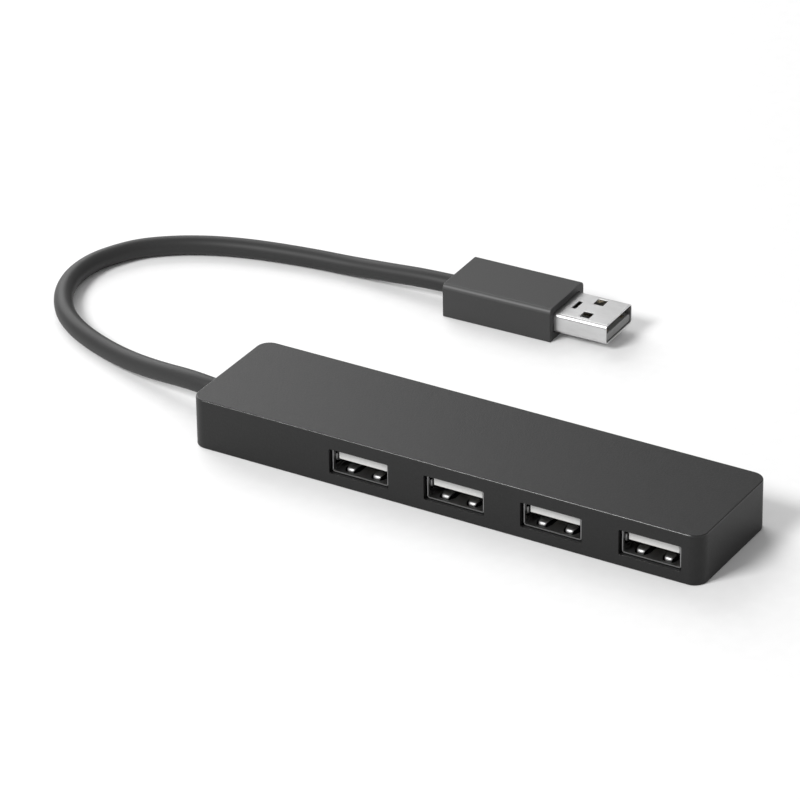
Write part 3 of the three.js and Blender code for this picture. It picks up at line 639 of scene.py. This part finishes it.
def opening_tools(port):
    """The hole through the front skin, and the pocket behind it that the socket stands in."""
    base = socket_base(port)
    width = SOCKET_OUTER.x + 2 * OPENING_SIDE
    bottom = base.z - OPENING_FLOOR
    socket_top = base.z + SOCKET_OUTER.y
    tools = []
    for front, rear, top in (
            (-OVERRUN, WALL, socket_top - OPENING_LAP),
            (OPENING_SKIN, WALL + POCKET_OVERRUN, socket_top + POCKET_HEAD)):
        outline = rounded_outline(
            width, top - bottom, OPENING_CORNER, 4, (base.x, (top + bottom) / 2))
        tools.append(prism(outline, case_low.y + front, case_low.y + rear, "Y"))
    return tools


def make_case_shell():
    """Walls and roof. The CAD shell's inner posts, clip pockets and ribs are left out."""
    outline = rounded_outline(case_size.x, case_size.y, CASE_CORNER, 16)
    shell = prism(outline, 0, case_high.z, "Z", "case_shell")
    round_edges(shell, CASE_EDGE, 4, 60)
    inside = prism(
        rounded_outline(case_size.x - 2 * WALL, case_size.y - 2 * WALL, CASE_CORNER - WALL, 10),
        -OVERRUN, case_high.z - ROOF, "Z")
    bush = round_bar(
        BUSH_RADIUS + BUSH_GAP, (0, exit_point.z), case_low.x - OVERRUN,
        case_low.x + WALL + OVERRUN, "X")
    boolean(shell, [inside, bush, *[tool for port in PORTS for tool in opening_tools(port)]])
    round_edges(shell, OPENING_EDGE, 3, 62)
    return smooth(shell)


own(make_case_shell(), "case_plastic", case_plastic, "top_shell")


def make_bottom_cover():
    """The plate with its eight clips. The CAD cover's ribs, pegs and cradle are left out."""
    size = cover_high - cover_low
    plate = prism(
        rounded_outline(size.x, case_size.y - 2 * (WALL + COVER_GAP), COVER_CORNER, 8),
        0, COVER_PLATE, "Z", "bottom_cover_detail")
    round_edges(plate, COVER_EDGE, 3, 60)
    outer = CLIP_OUTER
    inner = outer - CLIP_THICKNESS
    level = COVER_PLATE + BARB_LEVEL
    tip = cover_high.z
    arms = []
    for port in PORTS:
        middle = socket_base(port).x - PORT_PITCH / 2
        for side in (-1, 1):
            profile = [
                (inner, CLIP_FOOT), (outer, CLIP_FOOT), (outer, level), (outer + BARB, level),
                (outer + BARB, level + BARB_LIP), (outer, level + BARB_RAMP),
                (outer, tip), (inner, tip)]
            arm = prism(
                [(side * y, z) for y, z in profile],
                middle - CLIP_WIDTH / 2, middle + CLIP_WIDTH / 2, "X")
            arms.append(round_edges(arm, CLIP_EDGE, 2, 30))
    return smooth(boolean(plate, arms, "UNION"))


own(make_bottom_cover(), "case_plastic", case_plastic, "bottom_cover")

# ------------------------------------------------------------------ sockets
# Local frame: x across, y into the socket from its front edge, z up from its underside.

SOCKET_MIDDLE = SOCKET_OUTER.y / 2
TONGUE_TOP = SHEET + SOCKET_INSIDE.y - TONGUE_HEADROOM
TONGUE_BOTTOM = TONGUE_TOP - TONGUE_THICKNESS
TONGUE_REAR = TONGUE_SETBACK + TONGUE_LENGTH
BLOCK_REAR = TONGUE_REAR + BLOCK_DEPTH
TAIL = BLOCK_REAR + TAIL_SETBACK
LEG_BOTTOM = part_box("socket_1_shell")[0].z - socket_base(1).z

# A spring from its root to its tip: (depth, share of its rise, share of its width, crown).
SPRING_PATH = [
    (SPRING_ROOT + 0.3 * MM, 0, 1.2, 0), (SPRING_ROOT - 0.4 * MM, 0, 1.18, 0),
    (7.2 * MM, 0.35, 1.12, 0), (5 * MM, 0.84, 1.08, 0), (3.4 * MM, 1, 1.02, 0.04 * MM),
    (2.3 * MM, 0.97, 0.94, 0.05 * MM), (1.65 * MM, 0.76, 0.8, 0.08 * MM),
    (1.35 * MM, 0.3, 0.68, 0.08 * MM), (1.3 * MM, -0.1, 0.58, 0.06 * MM),
    (1.42 * MM, -0.38, 0.44, 0.03 * MM),
]


def spring_path(level, rise):
    """The spring's points in a sheet at that level; a negative rise turns it over."""
    turn = 1 if rise > 0 else -1
    return [
        (depth, level + share * rise, share_of_width * SPRING_WIDTH, turn * crown)
        for depth, share, share_of_width, crown in SPRING_PATH]


def spring_slot(x):
    """Clearance cut through floor and roof round a spring; it narrows towards the tip."""
    tip = SPRING_WIDTH * SLOT_AT_TIP + SPRING_SLOT
    root = SPRING_WIDTH * SLOT_AT_ROOT + SPRING_SLOT
    front = SPRING_TIP - SPRING_SLOT
    shoulder = front + SLOT_SHOULDER
    outline = [
        (x - tip, front), (x + tip, front), (x + root, shoulder), (x + root, SPRING_ROOT),
        (x - root, SPRING_ROOT), (x - root, shoulder)]
    return prism(outline, -OVERRUN, SOCKET_OUTER.y + OVERRUN, "Z")


def make_socket_shell():
    shell = prism(
        rounded_outline(*SOCKET_OUTER, SOCKET_CORNER, 6, (0, SOCKET_MIDDLE)),
        0, SOCKET_DEPTH, "Y", "socket_shell")
    cuts = [
        prism(
            rounded_outline(*SOCKET_INSIDE, SOCKET_CORNER - SHEET, 6, (0, SOCKET_MIDDLE)),
            -OVERRUN, SOCKET_DEPTH + OVERRUN, "Y"),
        block(
            (-TAIL_OPENING[0], TAIL - TAIL_OPENING[1], -OVERRUN),
            (TAIL_OPENING[0], SOCKET_DEPTH + OVERRUN, OVERRUN)),
        spring_slot(-SPRING_SPREAD),
        spring_slot(SPRING_SPREAD),
    ]
    half = SPRING_WIDTH / 2 + SPRING_SLOT
    for side in (-1, 1):
        ends = sorted((side * SOCKET_OUTER.x * SIDE_SLOT_FROM, side * SOCKET_OUTER.x))
        cuts.append(block(
            (ends[0], SPRING_TIP - SPRING_SLOT, SOCKET_MIDDLE - half),
            (ends[1], SPRING_ROOT, SOCKET_MIDDLE + half)))
    boolean(shell, cuts)
    round_edges(shell, SOCKET_EDGE, 2, 50)

    additions = []
    floor = SHEET / 2
    for x in (-SPRING_SPREAD, SPRING_SPREAD):
        additions.append(ribbon(
            "floor_spring", spring_path(floor, SPRING_RISE), SPRING_SHEET, x, 72))
        additions.append(ribbon(
            "roof_spring", spring_path(SOCKET_OUTER.y - floor, -LOW_SPRING_RISE),
            SPRING_SHEET, x))
    wall_x = (SOCKET_OUTER.x - SHEET) / 2
    for side in (-1, 1):
        spring = ribbon("side_spring", spring_path(0, -LOW_SPRING_RISE), SPRING_SHEET)
        turn = Matrix(((0, 0, side, side * wall_x), (0, 1, 0, 0), (1, 0, 0, SOCKET_MIDDLE),
                       (0, 0, 0, 1)))
        spring.data.transform(turn)
        additions.append(spring)
        for depth in LEG_DEPTHS:
            leg = block(
                (side * wall_x - SPRING_SHEET / 2, depth - LEG_HALF_WIDTH, LEG_BOTTOM),
                (side * wall_x + SPRING_SHEET / 2, depth + LEG_HALF_WIDTH, LEG_TOP))
            additions.append(round_edges(leg, LEG_EDGE, 2))
    boolean(shell, additions, "UNION")
    return shell


def make_socket_insulator():
    front, root = TONGUE_SETBACK, TONGUE_REAR + TONGUE_ROOT
    profile = [
        (front, TONGUE_BOTTOM + TONGUE_NOSE), (front + TONGUE_NOSE, TONGUE_BOTTOM),
        (root, TONGUE_BOTTOM), (root, TONGUE_TOP),
        (front + TONGUE_NOSE, TONGUE_TOP), (front, TONGUE_TOP - TONGUE_NOSE)]
    body = prism(profile, -TONGUE_WIDTH / 2, TONGUE_WIDTH / 2, "X", "socket_insulator")
    rear = prism(
        rounded_outline(
            SOCKET_INSIDE.x - BLOCK_GAP, SOCKET_INSIDE.y - BLOCK_GAP, BLOCK_CORNER, 4,
            (0, SOCKET_MIDDLE)),
        TONGUE_REAR, BLOCK_REAR, "Y")
    boolean(body, [rear], "UNION")
    half = CONTACT_WIDTH / 2 + CONTACT_GAP
    top = TONGUE_BOTTOM + CONTACT_SHEET + GROOVE_HEADROOM
    grooves = []
    for offset in CONTACT_OFFSETS:
        grooves.append(block(
            (offset - half, TONGUE_SETBACK + GROOVE_START, TONGUE_BOTTOM - OVERRUN),
            (offset + half, TONGUE_REAR, top)))
        grooves.append(block(
            (offset - half, TONGUE_REAR - OVERRUN, TONGUE_BOTTOM),
            (offset + half, BLOCK_REAR + OVERRUN, top)))
    boolean(body, grooves)
    return round_edges(body, INSULATOR_EDGE, 2, 40)


def make_socket_contact(offset):
    """A strip that bulges below the tongue, runs through the block and turns down to a tail."""
    level = TONGUE_BOTTOM + CONTACT_GAP + CONTACT_SHEET / 2
    start = TONGUE_SETBACK + CONTACT_SETBACK
    path = [
        (start, level), (start + 0.8 * MM, level - CONTACT_BULGE * 0.4),
        (start + 2 * MM, level - CONTACT_BULGE), (start + 3.4 * MM, level - CONTACT_BULGE * 0.5),
        (start + 5 * MM, level), (TAIL - 2 * MM, level), (TAIL - 0.5 * MM, level),
        (TAIL - 0.1 * MM, level - 0.1 * MM), (TAIL, level - 0.5 * MM), (TAIL, level - 2 * MM),
        (TAIL, LEG_BOTTOM)]
    strip = [(*point, CONTACT_WIDTH, 0) for point in path]
    return ribbon("socket_contact", strip, CONTACT_SHEET, offset, 60, CONTACT_EDGE)


shell_shape = make_socket_shell()
insulator_shape = make_socket_insulator()
contact_shapes = [make_socket_contact(offset) for offset in CONTACT_OFFSETS]


def copy_to(shape, name, matrix):
    piece = link(name, shape.data.copy())
    piece.data.transform(matrix)
    return smooth(piece)


for port in PORTS:
    place = Matrix.Translation(socket_base(port))
    shell = copy_to(shell_shape, f"socket_{port}_shell_detail", place)
    own(shell, "dark_nickel", dark_nickel, f"socket_{port}_shell")
    insulator = copy_to(insulator_shape, f"socket_{port}_insulator_detail", place)
    own(insulator, "white_plastic", white_plastic, f"socket_{port}_insulator")
    for number, shape in enumerate(contact_shapes, 1):
        contact = copy_to(shape, f"socket_{port}_contact_{number}_detail", place)
        own(contact, "gold_plate", gold_plate, f"socket_{port}_contact_{number}")

for shape in (shell_shape, insulator_shape, *contact_shapes):
    bpy.data.objects.remove(shape)

# ------------------------------------------------------------------ cable anchor


def make_anchor():
    """The block in its cradle, and the bush that fills the hole in the case's end wall."""
    start = anchor_high.x - ANCHOR_LENGTH
    body = prism(
        rounded_outline(ANCHOR_WIDTH, ANCHOR_HEIGHT, ANCHOR_CORNER, 6, (0, exit_point.z)),
        start, anchor_high.x, "X", "cable_anchor_detail")
    round_edges(body, ANCHOR_EDGE, 3, 60)
    bush = round_bar(BUSH_RADIUS, (0, exit_point.z), anchor_low.x, start + OVERRUN, "X", 64)
    round_edges(bush, BUSH_EDGE, 4, 60)
    return smooth(boolean(body, [bush], "UNION"))


own(make_anchor(), "cable_jacket", cable_jacket, "cable_anchor")

# ------------------------------------------------------------------ plug
# Local frame: x out of the overmould's front face, y across, z up from the surface.

plug_front = Vector(plug_mount["pos_m"]) - plug_axis * (PLUG_SHELL.x - INSULATOR_SETBACK)
plug_place = (
    Matrix.Translation((plug_front.x, plug_front.y, 0)) @ Matrix.Rotation(plug_turn, 4, "Z"))


def make_overmould():
    body = prism(
        rounded_outline(
            OVERMOULD.y, OVERMOULD.z, OVERMOULD_CORNER, 12, (0, plug_height),
            OVERMOULD_LOWER_CORNER),
        -OVERMOULD.x, 0, "X", "plug_overmould_detail")
    round_edges(body, OVERMOULD_EDGE, 3, 60)
    gap = OVERMOULD_GAP
    held = (PLUG_SHELL.y / 2 + gap, PLUG_SHELL.z / 2 + gap)
    mould = [half + gap for half in INNER_MOULD_HALF]
    boolean(body, [
        prism(
            rounded_outline(2 * held[0], 2 * held[1], PLUG_CORNER, 6, (0, plug_height)),
            -PLUG_ROOT - gap, OVERRUN, "X"),
        block(
            (-PLUG_ROOT - INNER_MOULD_REACH, -mould[0], plug_height - mould[1]),
            (-PLUG_ROOT - gap / 2, mould[0], plug_height + mould[1])),
    ])
    body.data.transform(plug_place)
    return smooth(body, 50)


def make_plug_shell():
    shell = prism(
        rounded_outline(PLUG_SHELL.y, PLUG_SHELL.z, PLUG_CORNER, 16, (0, plug_height)),
        -PLUG_ROOT, PLUG_SHELL.x, "X", "plug_shell_detail")
    cuts = [prism(
        rounded_outline(
            PLUG_SHELL.y - 2 * SHEET, PLUG_SHELL.z - 2 * SHEET, PLUG_CORNER - SHEET, 6,
            (0, plug_height)),
        -PLUG_ROOT - OVERRUN, PLUG_SHELL.x + OVERRUN, "X")]
    middle = PLUG_SHELL.x - WINDOW_INSET
    for side in (-1, 1):
        cuts.append(prism(
            rounded_outline(
                WINDOW.x, WINDOW.y, WINDOW_CORNER, 4, (middle, side * WINDOW_OFFSET)),
            0, OVERMOULD.z, "Z"))
    # A narrow lanced slot across the roof, near the overmould.
    cuts.append(prism(
        rounded_outline(LANCE.x, LANCE.y, LANCE_CORNER, 6, (LANCE_REACH, 0)),
        plug_height, OVERMOULD.z, "Z"))
    # The seam where the folded sheet meets, along the underside.
    cuts.append(block(
        (-PLUG_ROOT - OVERRUN, -SEAM / 2, 0), (PLUG_SHELL.x + OVERRUN, SEAM / 2, plug_height)))
    boolean(shell, cuts)
    round_edges(shell, PLUG_EDGE, 3, 50)
    shell.data.transform(plug_place)
    return smooth(shell, 45)


INSULATOR_BOTTOM = plug_height - PLUG_SHELL.z / 2 + SHEET + INSULATOR_GAP
INSULATOR_TOP = plug_height + PLUG_SHELL.z / 2 - SHEET - PLUG_CAVITY


def make_plug_insulator():
    height = INSULATOR_TOP - INSULATOR_BOTTOM
    body = prism(
        rounded_outline(
            PLUG_SHELL.y - 2 * SHEET - 2 * INSULATOR_GAP, height, PLUG_CORNER - SHEET, 4,
            (0, INSULATOR_BOTTOM + height / 2)),
        -PLUG_ROOT + INSULATOR_SETBACK, PLUG_SHELL.x - INSULATOR_SETBACK, "X",
        "plug_insulator_detail")
    half = CONTACT_WIDTH / 2 + CONTACT_GAP
    bottom = INSULATOR_TOP - CONTACT_SHEET - 2 * CONTACT_GAP
    boolean(body, [
        block(
            (-PLUG_ROOT - OVERRUN, offset - half, bottom),
            (PLUG_SHELL.x - inset + CONTACT_GAP, offset + half, INSULATOR_TOP + OVERRUN))
        for offset, inset in zip(CONTACT_OFFSETS, PLUG_CONTACT_INSETS)])
    round_edges(body, PLUG_INSIDE_EDGE, 2, 40)
    body.data.transform(plug_place)
    return smooth(body)


def make_plug_contact(number):
    offset, inset = CONTACT_OFFSETS[number - 1], PLUG_CONTACT_INSETS[number - 1]
    top = INSULATOR_TOP - CONTACT_GAP
    half = CONTACT_WIDTH / 2
    strip = block(
        (-PLUG_ROOT + PLUG_CONTACT_REAR, offset - half, top - CONTACT_SHEET),
        (PLUG_SHELL.x - inset, offset + half, top), f"plug_contact_{number}_detail")
    round_edges(strip, PLUG_INSIDE_EDGE, 3, 40)
    strip.data.transform(plug_place)
    return smooth(strip)


plug_pieces = [
    own(make_overmould(), "overmould_plastic", overmould_plastic, "plug_overmould"),
    own(make_plug_shell(), "nickel_plate", nickel_plate, "plug_shell"),
    own(make_plug_insulator(), "grey_plastic", grey_plastic, "plug_insulator"),
]
for number in range(1, 5):
    plug_pieces.append(own(
        make_plug_contact(number), "gold_plate", gold_plate, f"plug_contact_{number}"))

# ------------------------------------------------------------------ hidden CAD pieces

HIDDEN = {
    "circuit_board": board_laminate, "hub_controller": chip_epoxy, "supply_fuse": chip_epoxy,
    "crystal": can_metal, "bulk_capacitor_1": can_metal, "bulk_capacitor_2": can_metal,
    "plug_inner_mould": white_plastic,
    **{f"port_capacitor_{port}": ceramic_chip for port in PORTS},
    **{f"wire_{colour}": material for colour, material in wire_jackets.items()},
}
for name, material in HIDDEN.items():
    for material_slot in frame["nodes"][name].material_slots:
        material_slot.link = "OBJECT"
        material_slot.material = material

# ------------------------------------------------------------------ stage and light

FLOOR_HALF = 3.0
FLOOR_DROP = 0.02 * MM  # keeps the floor clear of the case's underside


def make_floor():
    bm = bmesh.new()
    bmesh.ops.create_grid(bm, x_segments=8, y_segments=8, size=FLOOR_HALF)
    bmesh.ops.translate(bm, verts=bm.verts, vec=(0, 0, -FLOOR_DROP))
    floor = mesh_object("floor", bm)
    material, shader = principled("studio_floor", (0.9, 0.9, 0.9), 0.8)
    paper = noise(material, 300, 4)
    tint = ramp(material, paper, [(0.3, (0.89, 0.89, 0.89)), (0.7, (0.91, 0.91, 0.91))])
    material.node_tree.links.new(tint, shader.inputs["Base Color"])
    floor.data.materials.append(material)


def add_panel(name, azimuth, elevation, distance, size, power):
    """A soft square light that faces the hub from that side."""
    data = bpy.data.lights.new(name, "AREA")
    data.shape = "SQUARE"
    data.size = size
    data.energy = power
    panel = link(name, data)
    a, e = math.radians(azimuth), math.radians(elevation)
    place = AIM + distance * Vector(
        (math.sin(a) * math.cos(e), -math.cos(a) * math.cos(e), math.sin(e)))
    panel.matrix_world = (
        Matrix.Translation(place) @ (AIM - place).to_track_quat("-Z", "Y").to_matrix().to_4x4())


def add_world(strength):
    world = bpy.data.worlds.new("studio")
    world.use_nodes = True
    background = world.node_tree.nodes["Background"]
    background.inputs["Color"].default_value = (1, 1, 1, 1)
    background.inputs["Strength"].default_value = strength
    bpy.context.scene.world = world


make_floor()
add_world(0.42)
add_panel("key", azimuth=335, elevation=42, distance=1.2, size=0.4, power=12)
add_panel("rear_left", azimuth=235, elevation=30, distance=1.1, size=0.8, power=6.6)
bpy.context.scene.view_settings.view_transform = "Standard"
